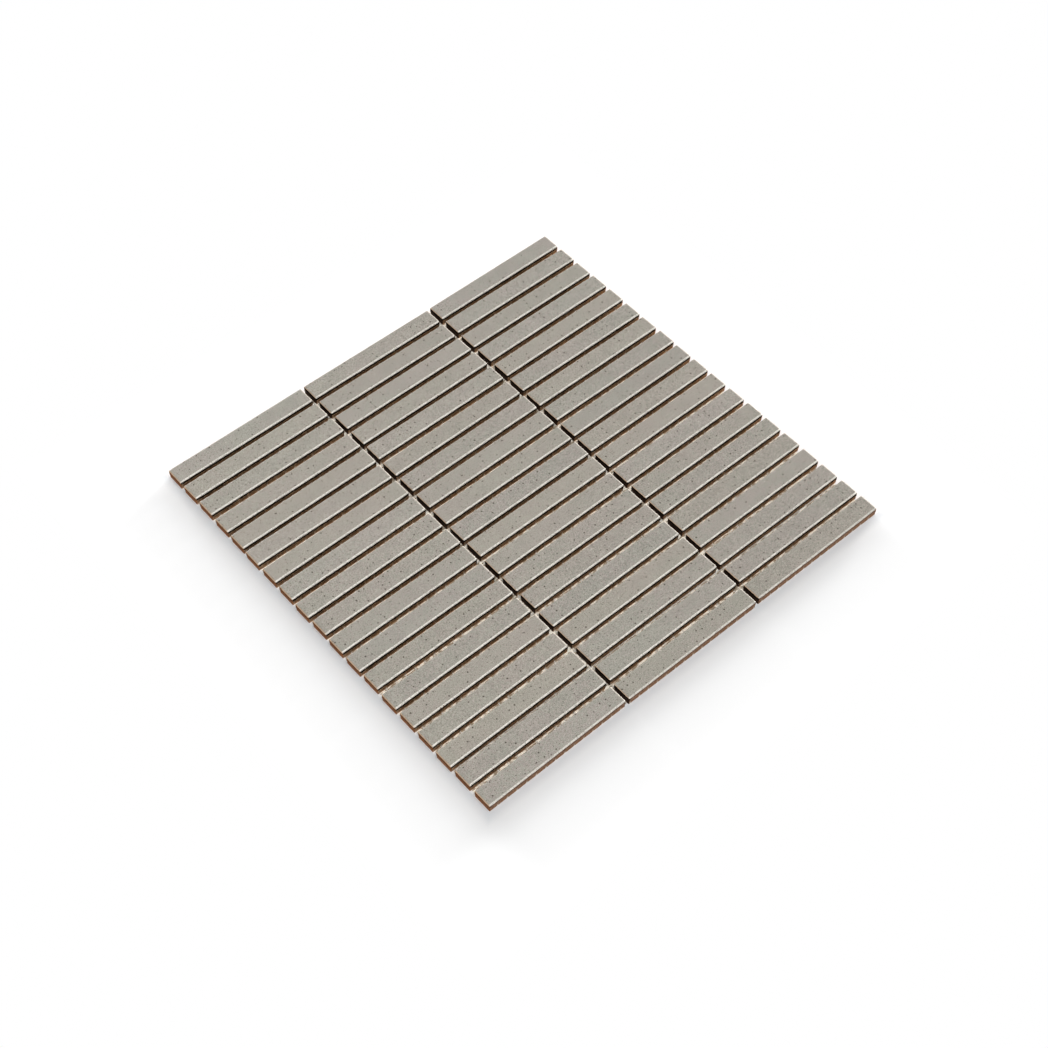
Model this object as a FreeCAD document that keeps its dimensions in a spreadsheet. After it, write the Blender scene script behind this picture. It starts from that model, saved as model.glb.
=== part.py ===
"""Sheet of stick mosaic: glazed ceramic sticks laid in a straight grid on a backing net.

Each stick is dry-pressed in a die. Its face has a rounded, glazed arris all round, over an upright side
land. Below the land the clay steps in and tapers to the flat back, as a pressed stick leaves its die.
The sticks lie face up with open joints between them, bonded by their backs to a laid net of flat threads:
one layer of threads runs along the sticks, and the other lies over it and crosses the joints.

Millimetres. X runs along the sticks, Y across the rows (row 1 at the far, +Y side) and Z up. The origin
is under the middle of the sheet, at the level that the net lies on.
"""

import FreeCAD, Part
import math
import os

from FreeCAD import Placement, Rotation, Vector
from Sketcher import Constraint

SAME_LEVEL = 1e-6

SIZES = {
    "stick_columns": 3,
    "stick_rows": 19,
    "stick_length": 97.6,
    "stick_width": 12.4,
    "stick_thickness": 6.0,
    "end_joint": 2.4,
    "side_joint": 3.25,
    "arris_radius": 0.7,
    "foot_height": 2.6,
    "foot_step": 0.1,
    "foot_draft": 1.0,
    "thread_pitch": 6.8,
    "thread_width": 0.9,
    "thread_thickness": 0.1,
    "net_margin": 1.5,
    "laying_drift": 0.3,
    "laying_turn": 0.25,
    "column_stagger": 0.3,
}

# Steps that share no rhythm, so that the unevenness of laying doesn't repeat by row or by column.
ROW_STEP = 12.9898
COLUMN_STEP = 78.233
KIND_STEP = 37.719
STEP_STRETCH = 43758.5453

# Worked out from the sizes above, so that the sticks and the net follow them.
DERIVED = {
    "column_pitch": "=stick_length + end_joint",
    "row_pitch": "=stick_width + side_joint",
    "sheet_length": "=stick_columns * column_pitch - end_joint",
    "sheet_width": "=stick_rows * row_pitch - side_joint",
    "net_thickness": "=2 * thread_thickness",
    "net_length": "=sheet_length - 2 * net_margin",
    "net_width": "=sheet_width - 2 * net_margin",
    "threads_beside_middle_along": "=floor((net_width - thread_width) / 2 / thread_pitch)",
    "threads_beside_middle_across": "=floor((net_length - thread_width) / 2 / thread_pitch)",
}


def make_size_sheet(doc):
    """Writes the driving sizes and the ones that follow from them to the document's spreadsheet."""
    sheet = doc.addObject("Spreadsheet::Sheet", "Sizes")
    cells = {**SIZES, **DERIVED}
    for line, (alias, value) in enumerate(cells.items(), start=1):
        sheet.set(f"A{line}", alias)
        sheet.set(f"B{line}", str(value))
        sheet.setAlias(f"B{line}", alias)
    doc.recompute()
    return sheet


def origin_feature(body, role):
    """The body's own origin plane or axis with this role, such as XY_Plane or X_Axis."""
    return next(feature for feature in body.Origin.OriginFeatures if feature.Role == role)


def centred_rectangle(body, name, length, width, level):
    """A rectangle centred on the body's Z axis, with its sides and its level bound to sizes."""
    sketch = body.newObject("Sketcher::SketchObject", name)
    sketch.AttachmentSupport = (origin_feature(body, "XY_Plane"), "")
    sketch.MapMode = "FlatFace"
    sketch.setExpression("AttachmentOffset.Base.z", level)
    corners = [Vector(-1, -1, 0), Vector(1, -1, 0), Vector(1, 1, 0), Vector(-1, 1, 0)]
    for start, end in zip(corners, corners[1:] + corners[:1]):
        sketch.addGeometry(Part.LineSegment(start, end))
    near, right, far, left = range(4)
    begin, end = 1, 2
    for side, following in ((near, right), (right, far), (far, left), (left, near)):
        sketch.addConstraint(Constraint("Coincident", side, end, following, begin))
    for side in (near, far):
        sketch.addConstraint(Constraint("Horizontal", side))
    for side in (right, left):
        sketch.addConstraint(Constraint("Vertical", side))
    sketch_origin = (-1, 1)
    sketch.addConstraint(Constraint("Symmetric", near, begin, right, end, *sketch_origin))
    for direction, side, size in (("DistanceX", near, length), ("DistanceY", right, width)):
        number = sketch.addConstraint(Constraint(direction, side, begin, side, end, 2))
        sketch.setExpression(f"Constraints[{number}]", size)
    return sketch


def pad(body, name, sketch, height, downwards=False, draft=None):
    """Pads a sketch by a bound height, with the sides tapering in by a bound draft angle."""
    feature = body.newObject("PartDesign::Pad", name)
    feature.Profile = sketch
    feature.Reversed = downwards
    feature.setExpression("Length", height)
    if draft:
        feature.setExpression("TaperAngle", f"-1 * {draft}")
    return feature


def edges_at(shape, level):
    """The names of the edges that lie wholly at this height."""
    names = []
    for number, edge in enumerate(shape.Edges, start=1):
        box = edge.BoundBox
        if abs(box.ZMin - level) < SAME_LEVEL and abs(box.ZMax - level) < SAME_LEVEL:
            names.append(f"Edge{number}")
    return names


def make_stick(doc, name):
    """One pressed stick, its back at Z 0: drafted foot, side land and rounded glazed face."""
    body = doc.addObject("PartDesign::Body", name)
    foot_plan = centred_rectangle(
        body,
        f"{name}_foot_plan",
        "Sizes.stick_length - 2 * Sizes.foot_step",
        "Sizes.stick_width - 2 * Sizes.foot_step",
        "Sizes.foot_height",
    )
    pad(body, f"{name}_foot", foot_plan, "Sizes.foot_height", downwards=True, draft="Sizes.foot_draft")
    face_plan = centred_rectangle(
        body, f"{name}_face_plan", "Sizes.stick_length", "Sizes.stick_width", "Sizes.foot_height"
    )
    land = pad(body, f"{name}_land", face_plan, "Sizes.stick_thickness - Sizes.foot_height")
    doc.recompute()
    arris = body.newObject("PartDesign::Fillet", f"{name}_arris")
    arris.Base = (land, edges_at(land.Shape, land.Shape.BoundBox.ZMax))
    arris.setExpression("Radius", "Sizes.arris_radius")
    return body


def uneven(row, column, kind):
    """A steady value from -1 to 1 for each stick and kind of shift, so that no two lie quite alike."""
    wave = math.sin(ROW_STEP * row + COLUMN_STEP * column + KIND_STEP * kind)
    return 2 * (wave * STEP_STRETCH % 1) - 1


def lay_stick(body, sheet, row, column):
    """Places a stick in its row and column on the net, a little off true as sticks are laid."""
    along, across, turn = (uneven(row, column, kind) for kind in (1, 2, 3))
    body.Placement = Placement(Vector(0, 0, 0), Rotation(Vector(0, 0, 1), turn * sheet.laying_turn))
    body.setExpression(
        "Placement.Base.x",
        f"({column} - (Sizes.stick_columns + 1) / 2) * Sizes.column_pitch"
        f" + {along:.3f} * Sizes.laying_drift",
    )
    nearer = 1 if 2 * column == sheet.stick_columns + 1 else -1
    body.setExpression(
        "Placement.Base.y",
        f"((Sizes.stick_rows + 1) / 2 - {row}) * Sizes.row_pitch"
        f" + {across:.3f} * Sizes.laying_drift - {nearer} * Sizes.column_stagger / 2",
    )
    body.setExpression("Placement.Base.z", "Sizes.net_thickness")


def make_sticks(doc, sheet):
    """Every stick of the sheet, each a piece of its own, row by row."""
    sticks = []
    for row in range(1, int(sheet.stick_rows) + 1):
        for column in range(1, int(sheet.stick_columns) + 1):
            stick = make_stick(doc, f"stick_row_{row:02d}_column_{column}")
            lay_stick(stick, sheet, row, column)
            sticks.append(stick)
    return sticks


def make_thread_layer(doc, name, length, width, spread_role, beside_middle, level):
    """One layer of the net: equal flat threads, side by side and as far out on both sides of the middle."""
    body = doc.addObject("PartDesign::Body", name)
    body.AllowCompound = True
    plan = centred_rectangle(body, f"{name}_plan", length, width, level)
    spread_axis = spread_role[0].lower()
    plan.setExpression(
        f"AttachmentOffset.Base.{spread_axis}", f"-1 * {beside_middle} * Sizes.thread_pitch"
    )
    thread = pad(body, f"{name}_thread", plan, "Sizes.thread_thickness")
    doc.recompute()
    spread = body.newObject("PartDesign::LinearPattern", f"{name}_spread")
    spread.Originals = [thread]
    spread.Direction = (origin_feature(body, spread_role), [""])
    spread.setExpression("Length", f"2 * {beside_middle} * Sizes.thread_pitch")
    spread.setExpression("Occurrences", f"2 * {beside_middle} + 1")
    body.Tip = spread
    return body


def make_net(doc):
    """The laid net under the sticks: threads along the sticks, and over them the ones across."""
    along = make_thread_layer(
        doc,
        "net_threads_along",
        "Sizes.net_length",
        "Sizes.thread_width",
        "Y_Axis",
        "Sizes.threads_beside_middle_along",
        "0",
    )
    across = make_thread_layer(
        doc,
        "net_threads_across",
        "Sizes.thread_width",
        "Sizes.net_width",
        "X_Axis",
        "Sizes.threads_beside_middle_across",
        "Sizes.thread_thickness",
    )
    return [along, across]


def check(doc, pieces):
    """Stops if any object failed or any piece is not a good solid."""
    for item in doc.Objects:
        if {"Invalid", "Error"} & set(item.State):
            raise RuntimeError(f"{item.Name} failed: {item.State}")
    for piece in pieces:
        if piece.Shape.isNull() or not piece.Shape.isValid() or not piece.Shape.Solids:
            raise RuntimeError(f"{piece.Label} has no valid solid")


def main():
    doc = FreeCAD.newDocument("stick_mosaic_sheet")
    sheet = make_size_sheet(doc)
    pieces = make_sticks(doc, sheet) + make_net(doc)
    doc.recompute()
    check(doc, pieces)
    os.makedirs("parts", exist_ok=True)
    for piece in pieces:
        piece.Shape.exportStep(f"parts/{piece.Label}.step")


main()
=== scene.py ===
"""Sheet of glazed stick mosaic on its net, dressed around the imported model.

Each stick is dry-pressed red-brown clay with a satin greige glaze over its face and arris. The sticks are
bonded by their backs to a laid net of flat off-white threads. The sheet lies on a white studio floor.

Metres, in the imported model's frame: X along the sticks, Y across the rows, Z up. What a stick is made
from is worked out in millimetres in the stick's own frame: x along it, y across it, z up from its back.
"""

import math
import random
from collections import namedtuple

import bmesh
import bpy
from mathutils import Euler, Matrix, Vector, noise


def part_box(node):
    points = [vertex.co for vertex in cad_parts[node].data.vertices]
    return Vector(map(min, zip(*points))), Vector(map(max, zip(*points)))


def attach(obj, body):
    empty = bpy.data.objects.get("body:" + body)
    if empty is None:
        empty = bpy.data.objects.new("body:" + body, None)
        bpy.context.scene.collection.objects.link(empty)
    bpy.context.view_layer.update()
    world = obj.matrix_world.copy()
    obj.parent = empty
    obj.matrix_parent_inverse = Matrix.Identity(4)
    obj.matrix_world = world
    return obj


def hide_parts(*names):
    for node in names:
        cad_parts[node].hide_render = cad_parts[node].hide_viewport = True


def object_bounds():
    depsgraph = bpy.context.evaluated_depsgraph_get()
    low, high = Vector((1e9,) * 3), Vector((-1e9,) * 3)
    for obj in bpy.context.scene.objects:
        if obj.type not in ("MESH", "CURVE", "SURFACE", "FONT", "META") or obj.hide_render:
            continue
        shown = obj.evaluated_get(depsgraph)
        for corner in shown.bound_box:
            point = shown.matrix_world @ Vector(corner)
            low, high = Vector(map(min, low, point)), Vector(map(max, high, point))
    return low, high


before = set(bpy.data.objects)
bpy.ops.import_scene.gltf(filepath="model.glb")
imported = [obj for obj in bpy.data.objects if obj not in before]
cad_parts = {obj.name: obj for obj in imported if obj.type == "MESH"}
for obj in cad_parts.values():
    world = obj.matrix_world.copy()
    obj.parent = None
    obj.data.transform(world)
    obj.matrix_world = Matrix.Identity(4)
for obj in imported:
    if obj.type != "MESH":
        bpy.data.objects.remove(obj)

MM = 0.001
CAD_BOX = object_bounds()

# The camera, as the photograph was taken.
CAMERA_PLACE = Vector((-433.40, -502.70, 881.02)) * MM
CAMERA_TURN = (36.1202, -0.0409, -40.9032)
CAMERA_LENS = 63.98
NEAREST_SEEN = 0.01

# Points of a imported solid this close, in metres, are one point.
SAME_PLACE = 1e-6

# How close a point of a stick is, in millimetres, to the wall or corner that it belongs to.
ON_WALL = 0.01
ON_CORNER = 0.1
LEAST_RISE = 0.001

# How close a cut has to pass to a point, in the mesh's own unit, to run through it.
CUT_SNAP = 1e-5

# Pressed clay: how far apart its surface is cut to follow its unevenness, and how uneven it is.
CUT_STEP = 1.2
CORNER_RADIUS = 0.35
ARRIS_SEGMENTS = 6
CORNER_SEGMENTS = 2
FACE_SWELL = 0.035
FACE_SWELL_LENGTH = 11.0
FACE_RIPPLE = 0.012
FACE_RIPPLE_LENGTH = 3.2
WALL_WANDER = 0.05
WALL_WANDER_LENGTH = 9.0

# How quickly the walls' wander dies away inwards, from a side and from an end, and how far apart the
# sticks read the noise that shapes them and the noise that colours them.
SIDE_FADE = 8
END_FADE = 64
SHAPE_SPREAD = 100
COLOUR_SPREAD = 400

# Laid net: threads flattened where they cross.
THREAD_SIDES = 8
CUTS_PER_PITCH = 4
THREAD_NARROWING = 0.12

StickForm = namedtuple("StickForm", "length width height land_level arris_level step_inset foot_taper")
StickLie = namedtuple("StickLie", "middle turn")
ThreadLayer = namedtuple("ThreadLayer", "along across low high middles crossings")

# Soft noise: how many millimetres its patches are across, how far it is shifted so that no two noises
# agree, and how much finer detail it carries.
Noise = namedtuple("Noise", "length shift detail roughness", defaults=((0, 0, 0), 2.0, 0.5))

# A soft step: where it starts and ends, and its level before and after.
Step = namedtuple("Step", "start end before after", defaults=(0.0, 1.0))

# Round specks: the noise shift, the spacing of their field, the share of its cells that hold one, their
# smallest and largest radius, and how strongly they show.
Specks = namedtuple("Specks", "shift spacing share smallest largest strength")

Lamp = namedtuple("Lamp", "name azimuth elevation size power")


def srgb(red, green, blue):
    """A finish as it is read off a colour chart, 0 to 255, as a linear colour."""
    def linear(level):
        share = level / 255
        return share / 12.92 if share <= 0.04045 else ((share + 0.055) / 1.055) ** 2.4
    return (linear(red), linear(green), linear(blue), 1.0)


def fading(start, end, strength=1.0):
    """A soft step from full strength down to nothing."""
    return Step(start, end, strength, 0.0)


WHITE = (1, 1, 1, 1)

# The glaze: its hues, what makes its hue drift, and what makes it deeper or paler.
GREENER_GLAZE = srgb(153, 151, 141)
PINKER_GLAZE = srgb(159, 151, 144)
WARMER_GLAZE = srgb(158, 151, 137)
SHEET_DRIFT = Noise(90, detail=1.0)
DRIFT_WEIGHT = 0.5
HUE_RIPPLES = (
    (Noise(24.0, (24.0, 71.3, 0)), 0.8),
    (Noise(6.0, (6.0, 71.3, 0)), 0.4),
    (Noise(2.6, (2.6, 71.3, 0)), 0.5),
    (Noise(0.9, (0.9, 71.3, 0)), 2.0),
)
TINT_WEIGHT = 0.08
GREENER_TO_PINKER = Step(0.3, 0.7)
WARMTH_SHARE = 0.35
MEAN_DEPTH = 0.985
PALER_TO_THE_LEFT = -0.09
TONE_WEIGHT = 0.04
HEAT = Noise(9.0, (12.7, 3.9, 0), detail=1.0)
HEAT_WEIGHT = 0.15
MOTTLE = Noise(3.0, detail=3.0, roughness=0.6)
MOTTLE_WEIGHT = 0.08
GRAIN = Noise(0.55, roughness=0.6)
GRAIN_WEIGHT = 1.65
PEEL = Noise(1.1)

# Specks in the glaze, and what makes everything drawn in it ragged.
DARK_SPECK = srgb(62, 48, 38)
FAINT_SPECK = srgb(90, 74, 62)
PALE_SPECK = srgb(214, 206, 192)
DARK_SPECKS = Specks((0, 0, 0), 4.4, 0.38, 0.28, 0.6, 0.9)
FAINT_SPECKS = Specks((31.7, 12.9, 0), 2.1, 0.5, 0.2, 0.36, 0.7)
PALE_SPECKS = Specks((7.3, 58.1, 0), 6.5, 0.12, 0.2, 0.45, 0.5)
SPECK_SOFTNESS = fading(0.55, 1.1)
SPECK_DIP = -0.6
RAGS = Noise(0.5, detail=1.0)
RAG_PUSH = 0.35

# The arris lines: the glaze drawn thin over each arris, with a painted highlight on the near and right
# arrises and painted shade on the far arris; each line's colour, and its strength by the distance from the
# edge.
NEAR_ARRIS_HIGHLIGHT = srgb(255, 250, 240)
NEAR_LINE = fading(0.65, 1.15)
NEAR_HIGHLIGHT_BREAKS = Noise(0.9, (5.9, 0, 61.1))
HIGHLIGHT_BROKEN = Step(0.38, 0.52, 0.4, 1.0)
OUTERMOST_ROW = Step(4.0, 6.0, 0.75, 1.0)
FAR_ARRIS_SHADE = srgb(98, 85, 68)
FAR_LINE = fading(0.2, 0.5)
FAR_SHADE_RAGS = Noise(1.2, (17.3, 0, 8.9))
FAR_SHADE_RAGS_WEIGHT = 1.2
RIGHT_ARRIS_HIGHLIGHT = srgb(206, 197, 184)
RIGHT_LINE = fading(0.45, 1.05, 0.8)
LEFT_ARRIS = srgb(210, 178, 146)
LEFT_LINE = fading(0.2, 0.6)
NICKS = Specks((3.1, 47.7, 0), 2.2, 0.05, 0.25, 0.6, 0.85)
NICKED = (0.25, 0.6)

# The bare clay: its colours outside, in the joints (paler there, as painted light), at the ends and on the
# foot, and what marks it.
SIDE_CLAY = srgb(180, 141, 114)
INNER_LIT_CLAY = srgb(230, 197, 160)
END_CLAY = srgb(168, 101, 52)
AT_AN_END = fading(0.3, 0.6)
IN_THE_SHEET = Step(1.0, 2.0)
FOOT_CLAY = srgb(178, 130, 92)
FOOT_EDGE = fading(-0.2, 0.1)
FOOT_SHARE = 0.5
STEP_SHADOW = fading(0.05, 0.3, 0.5)
GROG = srgb(120, 84, 60)
GROG_GRAIN = Noise(0.9, detail=4.0, roughness=0.7)
GROG_SHOWS = Step(0.36, 0.64, 0.0, 0.8)
DIE_MARK = srgb(104, 72, 50)
DIE_MARKS = Noise(0.7)
UPRIGHT = (1.0, 1.0, 0.12)
DIE_MARKS_SHOW = Step(0.45, 0.7, 0.0, 0.4)
CLAY_RELIEF = 2.0

# Where the glaze ends on the wall and how low its dark edge reaches, in arris radii up from the arris's
# foot. The dark edge is partly the glaze's own dark edge and partly painted shade: it reaches lower and
# darker in the joints, and in the joints the ends are painted dark all the way down as shade.
GLAZE_WOBBLE = Noise(1.8)
WOBBLE_WEIGHT = 0.5
HIGHER_AT_ENDS = 0.5
GLAZED = Step(-0.05, 0.08)
GLAZE_EDGE_AND_SHADE = srgb(20, 9, 3)
SHADED_ENDS = 0.85
DARK_EDGE_WANDER = Noise(1.4, (9.1, 33.7, 0))
DARK_EDGE_WANDER_WEIGHT = 2.5
DARK_EDGE_REACH = Step(-2.2, -1.7)
DARK_EDGE_SHADE_SHARE = Step(0.0, 1.0, 0.6, 0.97)

# Glue that has crept up from each thread: by the distance from the thread, and by the height.
CREPT_GLUE = srgb(238, 230, 214)
BESIDE_THREAD = fading(0.3, 0.8)
UP_THE_WALL = fading(0.3, 2.8, 0.6)

# Gloss: satin on the face, smoother and thicker where the glaze pools on the near arris, none on clay.
SATIN = Step(0.3, 0.7, 0.5, 0.6)
SMOOTHER_AT_SIDES = fading(0.5, 1.0, 0.2)
CLAY_ROUGHNESS = 0.92
GLAZE_SHINE = 0.16
POOLED = fading(0.5, 1.0)
POOLED_ROUGHNESS = 0.35
POOLED_IOR = 1.8
RELIEF_DEPTH = 0.03 * MM

# Glass thread in a clear size.
THREAD_SIZE = srgb(246, 241, 230)
THREAD_GLINT = srgb(253, 251, 246)
THREAD_STAIN = srgb(238, 228, 208)
FIBRES = Noise(0.12)
FIBRE_STRETCH = 0.08
FIBRES_SHOW = Step(0.3, 0.7)
STAINS = Noise(5.0)
STAINS_SHOW = Step(0.35, 0.75, 0.0, 0.4)
THREAD_ROUGHNESS = 0.55

# The studio's white paper: where it shows between the sticks, painted warm bounce light with patches of
# painted shade and a faint painted glow; a painted contact shadow, a little greyer, right beside the near
# and left sides; and plain white farther out. The steps are over the distance from the sheet's outline, in
# millimetres.
FLOOR_SIZE = 6.0
FLOOR_DROP = 0.02 * MM
FLOOR_PAPER = (0.85, 0.85, 0.85, 1.0)
BOUNCE_LIT_PAPER = (1.0, 0.93, 0.8, 1.0)
SHADE_PATCH_PAPER = (0.5, 0.41, 0.3, 1.0)
UNDER_THE_SHEET = fading(-2.5, -1.0)
SHADE_PATCHES = Noise(1.6, detail=1.0)
SHADE_PATCH_STRETCH = (0.4, 1.0, 1.0)
OUT_OF_SHADE_PATCHES = Step(0.42, 0.58)
PAPER_GLOW = 0.24
CONTACT_SHADOW_TINT = (0.83, 0.855, 0.875, 1.0)
CONTACT_SHADOW_SIDES = Step(-1.0, 0.0)
CONTACT_SHADOW_FADE = fading(0.5, 7.0)
PLAIN_WHITE = Step(22.0, 70.0)
LYING_ON_IT = 0.6 * MM

# The room's even light, against the white of 1 that the camera sees.
ROOM_LIGHT = 0.08

# Each lamp's direction, size and power. Azimuth is counted from X towards Y.
LAMP_DISTANCE = 3.2
LAMPS = (
    Lamp("front_softbox", 226, 52, (2.6, 2.6), 28),
    Lamp("front_strip", 234, 28, (2.4, 0.8), 22),
    Lamp("top_softbox", 262, 75, (1.8, 1.8), 36),
    Lamp("rear_softbox", 45, 15, (4.8, 0.9), 112),
    Lamp("right_strip", 12, 5, (1.0, 0.5), 130),
    Lamp("left_strip", 86, 5, (1.0, 0.5), 135),
    Lamp("underside_softbox", 250, -70, (2.0, 2.0), 75),
)


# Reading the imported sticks

def corners_at(points, level):
    """The separate points of a stick at one level."""
    found = {}
    for point in points:
        if abs(point.z - level) < SAME_PLACE:
            found[round(point.x / SAME_PLACE), round(point.y / SAME_PLACE)] = point
    return list(found.values())


def read_lie(points):
    """Where a stick lies: the middle of its back, and its turn about the upright through it."""
    back = corners_at(points, min(point.z for point in points))
    back.sort(key=lambda point: point.x)
    half = len(back) // 2
    left = sum(back[:half], Vector()) / half
    right = sum(back[half:], Vector()) / half
    run = right - left
    return StickLie((left + right) / 2, math.atan2(run.y, run.x))


def read_form(points, lie):
    """The sizes of a stick, in millimetres, from its mesh seen in its own frame."""
    square = Matrix.Rotation(-lie.turn, 4, "Z") @ Matrix.Translation(-lie.middle)
    local = [square @ point / MM for point in points]
    half_length = max(point.x for point in local)
    half_width = max(point.y for point in local)
    height = max(point.z for point in local)
    on_wall = [point.z for point in local if half_width - point.y < ON_WALL]
    land_level = min(on_wall)
    arris_level = max(on_wall)
    below = [point.y for point in local if abs(point.z - land_level) < ON_WALL]
    inner = max(y for y in below if half_width - y > ON_WALL)
    back = max(point.y for point in local if point.z < ON_WALL)
    return StickForm(
        2 * half_length,
        2 * half_width,
        height,
        land_level,
        arris_level,
        half_width - inner,
        inner - back,
    )


# Pressing the sticks

def steps_between(low, high, step):
    """Evenly spaced places between two ends, about a step apart and without the ends."""
    count = max(1, round((high - low) / step))
    return [low + (high - low) * number / count for number in range(1, count)]


def cut_across(bm, axis, places):
    """Cuts the mesh by planes square to an axis, so that it can follow an unevenness."""
    for place in places:
        everything = bm.verts[:] + bm.edges[:] + bm.faces[:]
        bmesh.ops.bisect_plane(bm, geom=everything, plane_co=axis * place, plane_no=axis, dist=CUT_SNAP)


def round_edges(bm, edges, radius, segments):
    """Rounds edges as a die's polished corners leave them."""
    bmesh.ops.bevel(
        bm,
        geom=edges,
        offset=radius,
        affect="EDGES",
        segments=segments,
        profile=0.5,
        material=-1,
        clamp_overlap=True,
    )


def press_foot(bm, form):
    """Steps in below the land and tapers down to the back."""
    back = min(bm.faces, key=lambda face: face.calc_center_median().z)
    bmesh.ops.inset_region(bm, faces=[back], thickness=form.step_inset, use_even_offset=True)
    foot = bmesh.ops.extrude_face_region(bm, geom=[back])
    foot_points = [item for item in foot["geom"] if isinstance(item, bmesh.types.BMVert)]
    plan = Vector((form.length, form.width)) / 2 - Vector((form.step_inset, form.step_inset))
    taper = (1 - form.foot_taper / plan.x, 1 - form.foot_taper / plan.y, 1)
    bmesh.ops.scale(bm, vec=taper, verts=foot_points)
    bmesh.ops.translate(bm, vec=(0, 0, -form.land_level), verts=foot_points)
    if back.is_valid:
        bmesh.ops.delete(bm, geom=[back], context="FACES_ONLY")


def runs_up_corner(edge, form):
    """Whether an edge belongs to one of the four lines that run up a stick's corners and over its arris."""
    reach = form.length / 2 - form.width / 2
    for vert in edge.verts:
        if abs(abs(vert.co.x) - abs(vert.co.y) - reach) > ON_CORNER:
            return False
    rise = abs(edge.verts[0].co.z - edge.verts[1].co.z)
    return rise > LEAST_RISE


def press_stick(form):
    """The clean form of one stick: stepped and drafted foot, side land and rounded arris."""
    bm = bmesh.new()
    bmesh.ops.create_cube(bm, size=1.0)
    land_height = form.height - form.land_level
    bmesh.ops.scale(bm, vec=(form.length, form.width, land_height), verts=bm.verts)
    bmesh.ops.translate(bm, vec=(0, 0, form.land_level + land_height / 2), verts=bm.verts)
    press_foot(bm, form)
    rim = [edge for edge in bm.edges if all(form.height - vert.co.z < ON_WALL for vert in edge.verts)]
    round_edges(bm, rim, form.height - form.arris_level, ARRIS_SEGMENTS)
    uprights = [edge for edge in bm.edges if runs_up_corner(edge, form)]
    round_edges(bm, uprights, CORNER_RADIUS, CORNER_SEGMENTS)
    cut_across(bm, Vector((1, 0, 0)), steps_between(-form.length / 2, form.length / 2, CUT_STEP))
    cut_across(bm, Vector((0, 1, 0)), steps_between(-form.width / 2, form.width / 2, CUT_STEP))
    land_middle = (form.land_level + form.arris_level) / 2
    cut_across(bm, Vector((0, 0, 1)), [form.land_level / 2, land_middle])
    bmesh.ops.recalc_face_normals(bm, faces=bm.faces)
    return bm


def unevenness(place, seed, length):
    """Smooth noise from 0 to 1 over a distance in millimetres, different for each stick."""
    spot = Vector((place.x / length + seed.x, place.y / length + seed.y, place.z / length + seed.z))
    return min(1.0, max(0.0, 0.5 + 0.5 * noise.noise(spot)))


def press_unevenly(bm, form, seed):
    """Moves a stick's surface inwards by a few hundredths, as pressed and fired clay comes out."""
    for vert in bm.verts:
        place = vert.co.copy()
        rise = min(1.0, max(0.0, (place.z - form.land_level) / (form.height - form.land_level)))
        swell = FACE_SWELL * unevenness(place, seed, FACE_SWELL_LENGTH)
        ripple = FACE_RIPPLE * unevenness(place, seed.yzx, FACE_RIPPLE_LENGTH)
        wander = WALL_WANDER * unevenness(place, seed.zxy, WALL_WANDER_LENGTH)
        at_side = min(1.0, abs(place.y) / (form.width / 2)) ** SIDE_FADE
        at_end = min(1.0, abs(place.x) / (form.length / 2)) ** END_FADE
        vert.co.z -= rise * (swell + ripple)
        vert.co.y -= math.copysign(wander, place.y) * at_side
        vert.co.x -= math.copysign(wander, place.x) * at_end


def keep_marks(bm, seed):
    """Keeps each point's place on its own stick, and the stick's own number, for the glaze to follow."""
    place_mark = bm.verts.layers.float_vector.new("stick_mm")
    own_mark = bm.verts.layers.float_vector.new("stick_own")
    for vert in bm.verts:
        vert[place_mark] = vert.co
        vert[own_mark] = seed


def finish_piece(bm, name, material, slot, *nodes):
    """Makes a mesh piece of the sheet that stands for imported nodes."""
    mesh = bpy.data.meshes.new(name)
    bm.to_mesh(mesh)
    bm.free()
    mesh.materials.append(material)
    mesh.shade_smooth()
    piece = bpy.data.objects.new(name, mesh)
    bpy.context.scene.collection.objects.link(piece)
    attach(piece, "root")
    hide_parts(*nodes)


def lay_stick(clean, form, node, lie, material):
    """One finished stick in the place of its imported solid."""
    draw = random.Random(node)
    seed = Vector((draw.random(), draw.random(), draw.random()))
    bm = clean.copy()
    keep_marks(bm, seed)
    press_unevenly(bm, form, seed * SHAPE_SPREAD)
    bmesh.ops.scale(bm, vec=(MM, MM, MM), verts=bm.verts)
    bmesh.ops.rotate(bm, matrix=Matrix.Rotation(lie.turn, 3, "Z"), verts=bm.verts)
    bmesh.ops.translate(bm, vec=lie.middle, verts=bm.verts)
    finish_piece(bm, f"glazed_{node}", material, "glazed_clay", node)


def lay_sticks(threads):
    """Every stick of the sheet: one clean form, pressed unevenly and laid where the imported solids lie."""
    nodes = sorted(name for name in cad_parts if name.startswith("stick_"))
    solids = {node: [vert.co.copy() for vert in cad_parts[node].data.vertices] for node in nodes}
    lies = {node: read_lie(points) for node, points in solids.items()}
    form = read_form(solids[nodes[0]], lies[nodes[0]])
    clean = press_stick(form)
    material = glazed_clay(form, threads)
    for node in nodes:
        lay_stick(clean, form, node, lies[node], material)
    clean.free()


# Laying the net

def thread_places(node, across):
    """The middles of a layer's threads along the axis that they are spread on."""
    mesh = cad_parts[node].data
    places = sorted(vert.co[across] for vert in mesh.vertices)
    sides = [places[0]]
    for place in places:
        if place - sides[-1] > SAME_PLACE:
            sides.append(place)
    return [(low + high) / 2 for low, high in zip(sides[::2], sides[1::2])]


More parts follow.
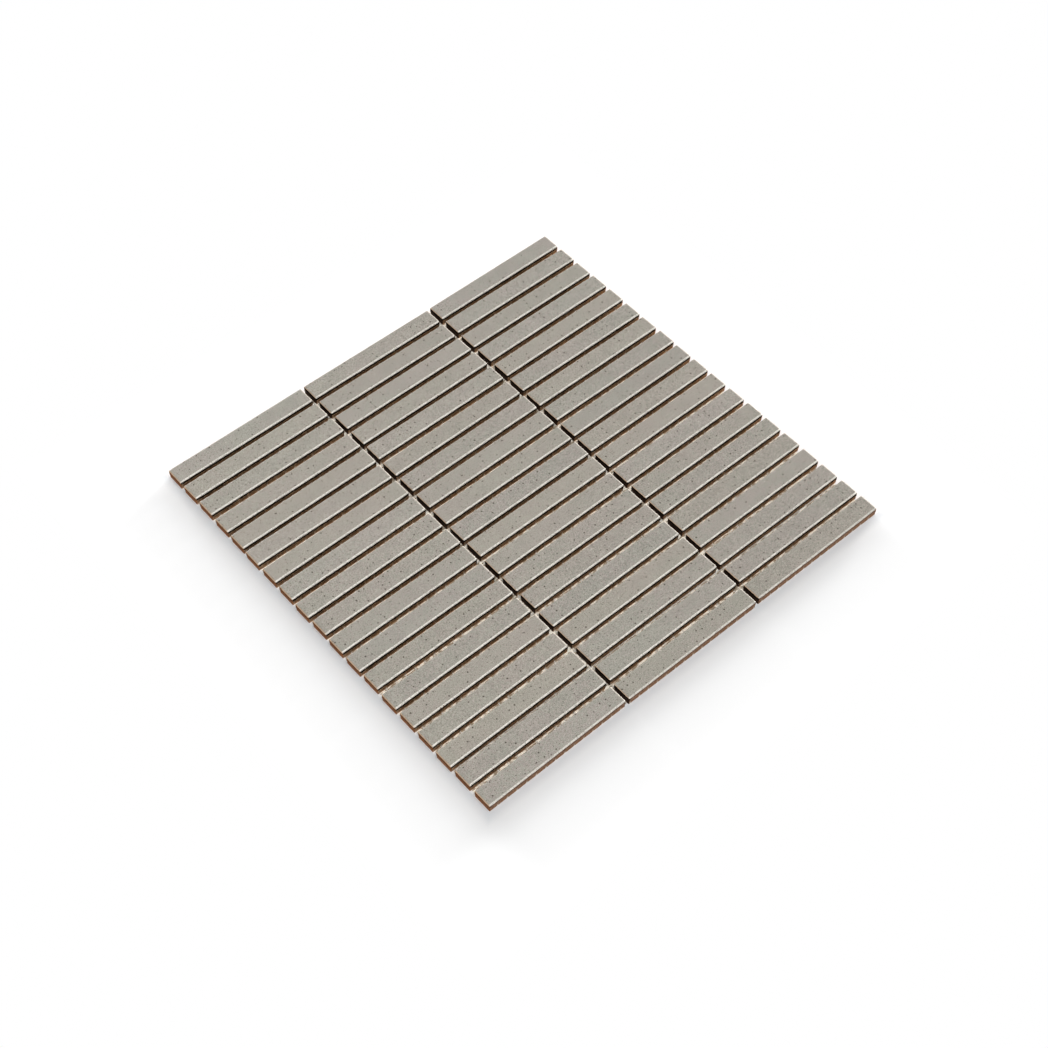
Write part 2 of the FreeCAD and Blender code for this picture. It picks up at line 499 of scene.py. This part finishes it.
def draw_thread(bm, layer, middle):
    """One straight thread of a layer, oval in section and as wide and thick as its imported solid."""
    half_width = layer.middles[0] - layer.low[layer.across]
    half_height = (layer.high.z - layer.low.z) / 2
    ring = bmesh.ops.create_circle(bm, cap_ends=True, segments=THREAD_SIDES, radius=1.0)["verts"]
    upright = Matrix.Rotation(math.pi / 2, 3, "X" if layer.along else "Y")
    bmesh.ops.rotate(bm, matrix=upright, verts=ring)
    section = Vector((1, 1, half_height))
    section[layer.across] = half_width
    bmesh.ops.scale(bm, vec=section, verts=ring)
    start = Vector((0, 0, layer.low.z + half_height))
    start[layer.along] = layer.low[layer.along]
    start[layer.across] = middle
    bmesh.ops.translate(bm, vec=start, verts=ring)
    cap = list(ring[0].link_faces)
    run = bmesh.ops.extrude_face_region(bm, geom=cap, use_keep_orig=True)
    far_end = [item for item in run["geom"] if isinstance(item, bmesh.types.BMVert)]
    reach = Vector((0, 0, 0))
    reach[layer.along] = layer.high[layer.along] - layer.low[layer.along]
    bmesh.ops.translate(bm, vec=reach, verts=far_end)


def cut_by_pitch(bm, layer):
    """Cuts a layer's threads at their crossings and a few times between them."""
    start = layer.low[layer.along]
    end = layer.high[layer.along]
    crossing = layer.crossings[0]
    pitch = layer.crossings[1] - crossing
    first = crossing - pitch * math.ceil((crossing - start) / pitch)
    count = int((end - first) / pitch * CUTS_PER_PITCH) + 1
    places = [first + pitch * number / CUTS_PER_PITCH for number in range(count)]
    axis = Vector((0, 0, 0))
    axis[layer.along] = 1
    cut_across(bm, axis, [place for place in places if start < place < end])


def pull_threads(bm, layer):
    """Narrows the threads between their crossings, where nothing presses them flat."""
    along, across = layer.along, layer.across
    spacing = layer.middles[1] - layer.middles[0]
    pitch = layer.crossings[1] - layer.crossings[0]
    for vert in bm.verts:
        number = round((vert.co[across] - layer.middles[0]) / spacing)
        middle = layer.middles[0] + spacing * number
        swing = math.cos(2 * math.pi * (vert.co[along] - layer.crossings[0]) / pitch)
        narrow = 1 - THREAD_NARROWING * (1 - swing) / 2
        vert.co[across] = middle + (vert.co[across] - middle) * narrow


def lay_threads(node, along, middles, crossings, material):
    """One layer of the net: rounded flat threads, pressed a little wider where they cross."""
    low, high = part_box(node)
    layer = ThreadLayer(along, 1 - along, low, high, middles, crossings)
    bm = bmesh.new()
    for middle in middles:
        draw_thread(bm, layer, middle)
    cut_by_pitch(bm, layer)
    pull_threads(bm, layer)
    bmesh.ops.recalc_face_normals(bm, faces=bm.faces)
    finish_piece(bm, f"laid_{node}", material, "net_thread", node)


# Finishes

class Finish:
    """A finish made of shader nodes: each call adds one node and gives the socket that it feeds on."""

    def __init__(self, name):
        self.material = bpy.data.materials.new(name)
        self.material.use_nodes = True
        self.tree = self.material.node_tree
        self.tree.nodes.clear()

    def add(self, kind, output=0, values=None, **settings):
        """Adds a node with its settings and its inputs, and gives one of its outputs."""
        made = self.tree.nodes.new(kind)
        for setting, value in settings.items():
            setattr(made, setting, value)
        for socket, value in (values or {}).items():
            if isinstance(value, bpy.types.NodeSocket):
                self.tree.links.new(value, made.inputs[socket])
            else:
                made.inputs[socket].default_value = value
        return made.outputs[output]

    def maths(self, operation, first, second=0.0):
        return self.add("ShaderNodeMath", operation=operation, values={0: first, 1: second})

    def times(self, first, second):
        return self.maths("MULTIPLY", first, second)

    def less(self, first, second):
        return self.maths("SUBTRACT", first, second)

    def plus(self, first, second):
        return self.maths("ADD", first, second)

    def vector(self, operation, first, second):
        return self.add("ShaderNodeVectorMath", operation=operation, values={0: first, 1: second})

    def scaled(self, vector, factor):
        return self.add("ShaderNodeVectorMath", operation="SCALE", values={0: vector, "Scale": factor})

    def in_mm(self, place):
        """A place or distance in metres, as millimetres."""
        return self.scaled(place, 1 / MM)

    def step(self, value, kind):
        """A soft step of a kind over a value."""
        return self.add(
            "ShaderNodeMapRange",
            interpolation_type="SMOOTHSTEP",
            values={
                "Value": value,
                "From Min": kind.start,
                "From Max": kind.end,
                "To Min": kind.before,
                "To Max": kind.after,
            },
        )

    def noise(self, place, kind, output="Fac"):
        """Soft noise of a kind: one value from 0 to 1, or three of them from the output Color."""
        if any(kind.shift):
            place = self.vector("ADD", place, kind.shift)
        return self.add(
            "ShaderNodeTexNoise",
            output=output,
            values={
                "Vector": place,
                "Scale": 1 / kind.length,
                "Detail": kind.detail,
                "Roughness": kind.roughness,
            },
        )

    def off_middle(self, value, weight):
        """How far a value from 0 to 1 lies off its middle, by a weight."""
        return self.times(self.less(value, 0.5), weight)

    def blend(self, share, first, second):
        """Mixes two plain values, which a mix node takes in its sockets 2 and 3."""
        return self.add("ShaderNodeMix", values={0: share, 2: first, 3: second})

    def mix(self, share, first, second, blend_type="MIX"):
        """Mixes two colours, which a mix node takes in its sockets 6 and 7 and gives from output 2."""
        return self.add(
            "ShaderNodeMix",
            output=2,
            data_type="RGBA",
            blend_type=blend_type,
            values={0: share, 6: first, 7: second},
        )

    def attribute(self, name):
        return self.add("ShaderNodeAttribute", output="Vector", attribute_name=name)

    def sheet_place(self):
        """The place on the sheet, in metres."""
        return self.add("ShaderNodeTexCoord", output="Object")

    def parts(self, vector):
        """The x, y and z of a vector."""
        x = self.add("ShaderNodeSeparateXYZ", values={0: vector})
        return x, x.node.outputs[1], x.node.outputs[2]

    def relief(self, height):
        return self.add(
            "ShaderNodeBump", values={"Height": height, "Distance": RELIEF_DEPTH, "Strength": 1.0}
        )

    def surface(self, shader):
        output = self.tree.nodes.new("ShaderNodeOutputMaterial")
        self.tree.links.new(shader, output.inputs["Surface"])
        return self.material


def specks(finish, place, kind):
    """Round specks: in some of a field's cells, one each, from smallest to largest in radius."""
    field = finish.add(
        "ShaderNodeTexVoronoi",
        voronoi_dimensions="2D",
        values={
            "Vector": finish.vector("ADD", place, kind.shift),
            "Scale": 1 / kind.spacing,
            "Randomness": 1.0,
        },
    )
    distance = finish.times(field, kind.spacing)
    chance, size, _ = finish.parts(field.node.outputs["Color"])
    radius = finish.step(size, Step(0.0, 1.0, kind.smallest, kind.largest))
    dot = finish.step(finish.maths("DIVIDE", distance, radius), SPECK_SOFTNESS)
    return finish.times(dot, finish.maths("LESS_THAN", chance, kind.share))


def inside_sheet(finish, place, edge):
    """Whether a place on the sheet, along one axis, lies inside its outer edges."""
    within = finish.less(edge, finish.maths("ABSOLUTE", place))
    return finish.step(finish.times(within, 1 / MM), IN_THE_SHEET)


class StickPlace:
    """Where a point of the glaze or clay is: on its stick, in millimetres, and on the sheet, in metres."""

    def __init__(self, finish, form):
        place = finish.attribute("stick_mm")
        self.own = finish.attribute("stick_own")
        self.x, self.y, self.z = finish.parts(place)
        self.sheet = finish.sheet_place()
        self.sheet_x, self.sheet_y, _ = finish.parts(self.sheet)
        self.spot = finish.vector("ADD", place, finish.scaled(self.own, COLOUR_SPREAD))
        push = finish.noise(self.spot, RAGS, output="Color")
        self.ragged = finish.vector("ADD", self.spot, finish.scaled(push, RAG_PUSH))
        self.from_side = finish.less(form.width / 2, finish.maths("ABSOLUTE", self.y))
        self.from_end = finish.less(form.length / 2, finish.maths("ABSOLUTE", self.x))
        self.near = finish.maths("LESS_THAN", self.y, 0)
        self.left = finish.maths("LESS_THAN", self.x, 0)
        self.at_end = finish.step(self.from_end, AT_AN_END)
        inner_side = inside_sheet(finish, self.sheet_y, CAD_BOX[1][1])
        inner_end = inside_sheet(finish, self.sheet_x, CAD_BOX[1][0])
        self.inner = finish.blend(self.at_end, inner_side, inner_end)


def fired_glaze(finish, at):
    """The glaze on the face: its hue and its depth drift over each stick and from stick to stick."""
    tone, tint, warmth = finish.parts(at.own)
    drift = finish.noise(finish.in_mm(at.sheet), SHEET_DRIFT)
    hue = finish.plus(0.5, finish.off_middle(drift, DRIFT_WEIGHT))
    for ripple, weight in HUE_RIPPLES:
        hue = finish.plus(hue, finish.off_middle(finish.noise(at.spot, ripple), weight))
    hue = finish.plus(hue, finish.off_middle(tint, TINT_WEIGHT))
    glaze = finish.mix(finish.step(hue, GREENER_TO_PINKER), GREENER_GLAZE, PINKER_GLAZE)
    glaze = finish.mix(finish.times(warmth, WARMTH_SHARE), glaze, WARMER_GLAZE)
    along_sheet = finish.step(at.sheet_x, Step(CAD_BOX[0][0], CAD_BOX[1][0]))
    heat = finish.noise(at.spot, HEAT)
    mottle = finish.noise(at.spot, MOTTLE)
    grain = finish.noise(at.spot, GRAIN)
    depth = MEAN_DEPTH
    for value, weight in (
        (along_sheet, PALER_TO_THE_LEFT),
        (tone, TONE_WEIGHT),
        (heat, HEAT_WEIGHT),
        (mottle, MOTTLE_WEIGHT),
        (grain, GRAIN_WEIGHT),
    ):
        depth = finish.plus(depth, finish.off_middle(value, weight))
    return finish.scaled(glaze, depth), grain


def with_specks(finish, at, glaze):
    """Iron specks in the glaze, plain and faint, and a few pale ones."""
    dark = specks(finish, at.ragged, DARK_SPECKS)
    faint = specks(finish, at.ragged, FAINT_SPECKS)
    pale = specks(finish, at.ragged, PALE_SPECKS)
    glaze = finish.mix(finish.times(faint, FAINT_SPECKS.strength), glaze, FAINT_SPECK)
    glaze = finish.mix(finish.times(dark, DARK_SPECKS.strength), glaze, DARK_SPECK)
    return finish.mix(finish.times(pale, PALE_SPECKS.strength), glaze, PALE_SPECK), dark


def thin_glaze_and_arris_light(finish, at, glaze):
    """The glaze drawn thin over the arrises and nicked, warm at the left ends, pale on the near side and
    lighter at the right ends as a painted highlight, and darker on the far side as painted shade.
    """
    highlight_breaks = finish.step(finish.noise(at.ragged, NEAR_HIGHLIGHT_BREAKS), HIGHLIGHT_BROKEN)
    from_outer_row = finish.times(finish.less(at.sheet_y, CAD_BOX[0][1]), 1 / MM)
    outermost = finish.step(from_outer_row, OUTERMOST_ROW)
    # Painted highlight along the near arris, broken up along its length and weaker on the outermost row.
    bright_near = finish.times(at.near, finish.times(highlight_breaks, outermost))
    far = finish.less(1.0, at.near)
    right = finish.less(1.0, at.left)
    # Painted shade along the far arris, with a ragged inner edge.
    far_rags = finish.off_middle(finish.noise(at.ragged, FAR_SHADE_RAGS), FAR_SHADE_RAGS_WEIGHT)
    far_shade_reach = finish.plus(at.from_side, far_rags)
    for side, distance, line, colour in (
        (bright_near, at.from_side, NEAR_LINE, NEAR_ARRIS_HIGHLIGHT),
        (far, far_shade_reach, FAR_LINE, FAR_ARRIS_SHADE),
        (right, at.from_end, RIGHT_LINE, RIGHT_ARRIS_HIGHLIGHT),
        (at.left, at.from_end, LEFT_LINE, LEFT_ARRIS),
    ):
        glaze = finish.mix(finish.times(side, finish.step(distance, line)), glaze, colour)
    edge = finish.maths("MINIMUM", at.from_side, at.from_end)
    nicked = finish.step(edge, fading(*NICKED, NICKS.strength))
    return finish.mix(finish.times(specks(finish, at.ragged, NICKS), nicked), glaze, GROG)


def glaze_level(finish, at, form):
    """How far a point is above the glaze's edge, in arris radii: wavy, and higher at the ends in joints."""
    radius = form.height - form.arris_level
    wobble = finish.off_middle(finish.noise(at.spot, GLAZE_WOBBLE), WOBBLE_WEIGHT)
    roll = finish.maths("DIVIDE", finish.less(at.z, form.arris_level), radius)
    inner_end = finish.times(at.inner, at.at_end)
    return finish.less(finish.plus(roll, wobble), finish.times(inner_end, HIGHER_AT_ENDS))


def pressed_clay(finish, at, form, level):
    """The bare clay of the sides: grog, the die's upright marks, paler clay in the joints as painted light,
    a painted shadow line under the step, and the dark edge where the glaze ends, deeper and darker in the
    joints as painted shade.
    """
    above_land = finish.less(at.z, form.land_level)
    foot = finish.step(above_land, FOOT_EDGE)
    # Inside the sheet the walls are painted paler, as light in the joints.
    clay = finish.mix(at.at_end, finish.mix(at.inner, SIDE_CLAY, INNER_LIT_CLAY), END_CLAY)
    clay = finish.mix(finish.times(foot, FOOT_SHARE), clay, FOOT_CLAY)
    grog = finish.noise(at.spot, GROG_GRAIN)
    clay = finish.mix(finish.step(grog, GROG_SHOWS), clay, GROG)
    marks = finish.noise(finish.vector("MULTIPLY", at.spot, UPRIGHT), DIE_MARKS)
    clay = finish.mix(finish.step(marks, DIE_MARKS_SHOW), clay, DIE_MARK)
    # A thin line of painted shadow under the step at the land.
    off_step = finish.maths("ABSOLUTE", above_land)
    clay = finish.mix(finish.step(off_step, STEP_SHADOW), clay, GLAZE_EDGE_AND_SHADE)
    # In the joints the ends are painted dark all the way down as shade, and the dark edge reaches lower and
    # darker as painted shade.
    inner_end = finish.times(at.inner, at.at_end)
    clay = finish.mix(finish.times(inner_end, SHADED_ENDS), clay, GLAZE_EDGE_AND_SHADE)
    dark_wander = finish.off_middle(finish.noise(at.spot, DARK_EDGE_WANDER), DARK_EDGE_WANDER_WEIGHT)
    dark_reach = finish.step(finish.plus(finish.plus(level, at.inner), dark_wander), DARK_EDGE_REACH)
    dark_edge = finish.times(dark_reach, finish.step(at.inner, DARK_EDGE_SHADE_SHARE))
    relief = finish.times(finish.plus(grog, marks), CLAY_RELIEF)
    return finish.mix(dark_edge, clay, GLAZE_EDGE_AND_SHADE), relief


def glued_at_threads(finish, at, clay, threads):
    """Pale glue that has crept up the clay wherever a thread of the net passes under it."""
    half_pitch = (threads[1] - threads[0]) / 2
    from_first = finish.less(at.sheet_x, threads[0])
    from_thread = finish.add(
        "ShaderNodeMath", operation="WRAP", values={0: from_first, 1: half_pitch, 2: -half_pitch}
    )
    beside = finish.times(finish.maths("ABSOLUTE", from_thread), 1 / MM)
    glue = finish.times(finish.step(beside, BESIDE_THREAD), finish.step(at.z, UP_THE_WALL))
    return finish.mix(glue, clay, CREPT_GLUE)


def glazed_clay(form, threads):
    """Satin greige glaze over the face and arris of a red-brown pressed body."""
    finish = Finish("glazed_clay")
    at = StickPlace(finish, form)
    glaze, grain = fired_glaze(finish, at)
    glaze, dark = with_specks(finish, at, glaze)
    glaze = thin_glaze_and_arris_light(finish, at, glaze)
    level = glaze_level(finish, at, form)
    clay, clay_relief = pressed_clay(finish, at, form, level)
    clay = glued_at_threads(finish, at, clay, threads)
    glazed = finish.step(level, GLAZED)
    smoother = finish.step(at.from_side, SMOOTHER_AT_SIDES)
    satin = finish.less(finish.step(grain, SATIN), smoother)
    pooled = finish.times(finish.times(at.near, finish.step(at.from_side, POOLED)), glazed)
    glaze_relief = finish.plus(finish.noise(at.spot, PEEL), finish.times(dark, SPECK_DIP))
    relief = finish.relief(finish.blend(glazed, clay_relief, glaze_relief))
    shader = finish.add(
        "ShaderNodeBsdfPrincipled",
        values={
            "Base Color": finish.mix(glazed, clay, glaze),
            "Roughness": finish.blend(glazed, CLAY_ROUGHNESS, satin),
            "Normal": relief,
            "Specular IOR Level": GLAZE_SHINE,
            "Coat Weight": pooled,
            "Coat Roughness": POOLED_ROUGHNESS,
            "Coat IOR": POOLED_IOR,
            "Coat Normal": relief,
        },
    )
    return finish.surface(shader)


def net_thread(name, along):
    """Off-white glass thread in a clear size, with its fibres running along it."""
    finish = Finish(name)
    place = finish.in_mm(finish.sheet_place())
    stretch = Vector((1.0, 1.0, 1.0))
    stretch[along] = FIBRE_STRETCH
    fibres = finish.noise(finish.vector("MULTIPLY", place, stretch), FIBRES)
    stains = finish.noise(place, STAINS)
    colour = finish.mix(finish.step(fibres, FIBRES_SHOW), THREAD_SIZE, THREAD_GLINT)
    colour = finish.mix(finish.step(stains, STAINS_SHOW), colour, THREAD_STAIN)
    shader = finish.add(
        "ShaderNodeBsdfPrincipled",
        values={
            "Base Color": colour,
            "Roughness": THREAD_ROUGHNESS,
            "Normal": finish.relief(fibres),
        },
    )
    return finish.surface(shader)


# The studio

def floor_paper(finish, place, seen):
    """The paper around and under the sheet: its shader, and how far each point is from the sheet."""
    x, y, _ = finish.parts(place)
    reach = Vector(CAD_BOX[1]) / MM
    beyond_x = finish.less(finish.maths("ABSOLUTE", x), reach.x)
    beyond_y = finish.less(finish.maths("ABSOLUTE", y), reach.y)
    beyond = finish.maths("MAXIMUM", beyond_x, beyond_y)
    # A painted contact shadow: the paper is a little greyer right beside the near and left sides.
    off_left = finish.less(finish.times(x, -1.0), reach.x)
    off_near = finish.less(finish.times(y, -1.0), reach.y)
    off_side = finish.maths("MAXIMUM", off_left, off_near)
    contact_shadow = finish.times(finish.step(off_side, CONTACT_SHADOW_SIDES), finish.step(beyond, CONTACT_SHADOW_FADE))
    paper = finish.mix(seen, FLOOR_PAPER, WHITE)
    paper = finish.mix(contact_shadow, paper, CONTACT_SHADOW_TINT, blend_type="MULTIPLY")
    # Under the sheet, where the paper shows between the sticks: painted warm bounce light with patches of
    # painted shade.
    shade_patches = finish.noise(finish.vector("MULTIPLY", place, SHADE_PATCH_STRETCH), SHADE_PATCHES)
    out_of_patches = finish.step(shade_patches, OUT_OF_SHADE_PATCHES)
    under = finish.step(beyond, UNDER_THE_SHEET)
    paper = finish.mix(under, paper, finish.mix(out_of_patches, SHADE_PATCH_PAPER, BOUNCE_LIT_PAPER))
    # A faint painted glow where the camera sees the paper between the sticks, outside the shade patches.
    glow = finish.times(finish.times(seen, finish.times(out_of_patches, PAPER_GLOW)), under)
    shader = finish.add(
        "ShaderNodeBsdfPrincipled",
        values={
            "Base Color": paper,
            "Roughness": 1.0,
            "Specular IOR Level": 0.0,
            "Emission Color": BOUNCE_LIT_PAPER,
            "Emission Strength": glow,
        },
    )
    return shader, beyond


def studio_white():
    """Paper that keeps the sheet's soft shadow, with painted shade, bounce light and glow near and under the
    sheet, plain white farther out and clear from below.
    """
    finish = Finish("white_floor")
    ray = finish.add("ShaderNodeLightPath", output="Is Camera Ray")
    seen = finish.maths("MAXIMUM", ray, ray.node.outputs["Is Glossy Ray"])
    seen = finish.maths("MAXIMUM", seen, ray.node.outputs["Is Transmission Ray"])
    paper, beyond = floor_paper(finish, finish.in_mm(finish.sheet_place()), seen)
    plain = finish.add("ShaderNodeEmission", values={"Color": WHITE, "Strength": 1.0})
    away = finish.times(finish.step(beyond, PLAIN_WHITE), seen)
    shown = finish.add("ShaderNodeMixShader", values={0: away, 1: paper, 2: plain})
    # From below the floor is clear, and it lets light up to the backs that lie on it.
    close = finish.maths("LESS_THAN", ray.node.outputs["Ray Length"], LYING_ON_IT)
    close = finish.times(close, finish.less(1.0, seen))
    from_below = finish.add("ShaderNodeNewGeometry", output="Backfacing")
    clear = finish.maths("MAXIMUM", from_below, close)
    nothing = finish.add("ShaderNodeBsdfTransparent")
    shown = finish.add("ShaderNodeMixShader", values={0: clear, 1: shown, 2: nothing})
    return finish.surface(shown)


def white_floor():
    """The studio floor, a hair below the sheet's net."""
    bm = bmesh.new()
    bmesh.ops.create_grid(bm, x_segments=1, y_segments=1, size=FLOOR_SIZE / 2)
    bmesh.ops.translate(bm, vec=(0, 0, CAD_BOX[0][2] - FLOOR_DROP), verts=bm.verts)
    mesh = bpy.data.meshes.new("floor")
    bm.to_mesh(mesh)
    bm.free()
    mesh.materials.append(studio_white())
    floor = bpy.data.objects.new("floor", mesh)
    bpy.context.scene.collection.objects.link(floor)


def white_room():
    """The room: white where the camera looks, and a little even light."""
    world = bpy.data.worlds.new("white_room")
    bpy.context.scene.world = world
    world.use_nodes = True
    tree = world.node_tree
    tree.nodes.clear()
    ray = tree.nodes.new("ShaderNodeLightPath")
    seen = tree.nodes.new("ShaderNodeMath")
    seen.operation = "MAXIMUM"
    tree.links.new(ray.outputs["Is Camera Ray"], seen.inputs[0])
    tree.links.new(ray.outputs["Is Transmission Ray"], seen.inputs[1])
    strength = tree.nodes.new("ShaderNodeMapRange")
    strength.inputs["To Min"].default_value = ROOM_LIGHT
    strength.inputs["To Max"].default_value = 1.0
    tree.links.new(seen.outputs[0], strength.inputs["Value"])
    background = tree.nodes.new("ShaderNodeBackground")
    background.inputs["Color"].default_value = WHITE
    tree.links.new(strength.outputs[0], background.inputs["Strength"])
    output = tree.nodes.new("ShaderNodeOutputWorld")
    tree.links.new(background.outputs[0], output.inputs["Surface"])


def hang_lamp(lamp):
    """A soft lamp aimed at the middle of the sheet."""
    light = bpy.data.lights.new(lamp.name, "AREA")
    light.shape = "RECTANGLE"
    light.size, light.size_y = lamp.size
    light.energy = lamp.power
    holder = bpy.data.objects.new(lamp.name, light)
    bpy.context.scene.collection.objects.link(holder)
    around = math.radians(lamp.azimuth)
    up = math.radians(lamp.elevation)
    towards = Vector((math.cos(up) * math.cos(around), math.cos(up) * math.sin(around), math.sin(up)))
    holder.location = towards * LAMP_DISTANCE
    holder.rotation_euler = towards.to_track_quat("Z", "Y").to_euler()


def stand_camera():
    """The camera, at the photograph's place and angle."""
    lens = bpy.data.cameras.new("camera")
    lens.lens = CAMERA_LENS
    lens.clip_start = NEAREST_SEEN
    holder = bpy.data.objects.new("camera", lens)
    holder.location = CAMERA_PLACE
    holder.rotation_euler = Euler([math.radians(angle) for angle in CAMERA_TURN], "XYZ")
    bpy.context.scene.collection.objects.link(holder)
    bpy.context.scene.camera = holder


def main():
    across_places = thread_places("net_threads_across", 0)
    along_places = thread_places("net_threads_along", 1)
    lay_sticks(across_places)
    lay_threads("net_threads_along", 0, along_places, across_places, net_thread("thread_along", 0))
    lay_threads("net_threads_across", 1, across_places, along_places, net_thread("thread_across", 1))
    white_floor()
    white_room()
    for lamp in LAMPS:
        hang_lamp(lamp)
    stand_camera()
    bpy.context.scene.view_settings.view_transform = "Standard"


main()
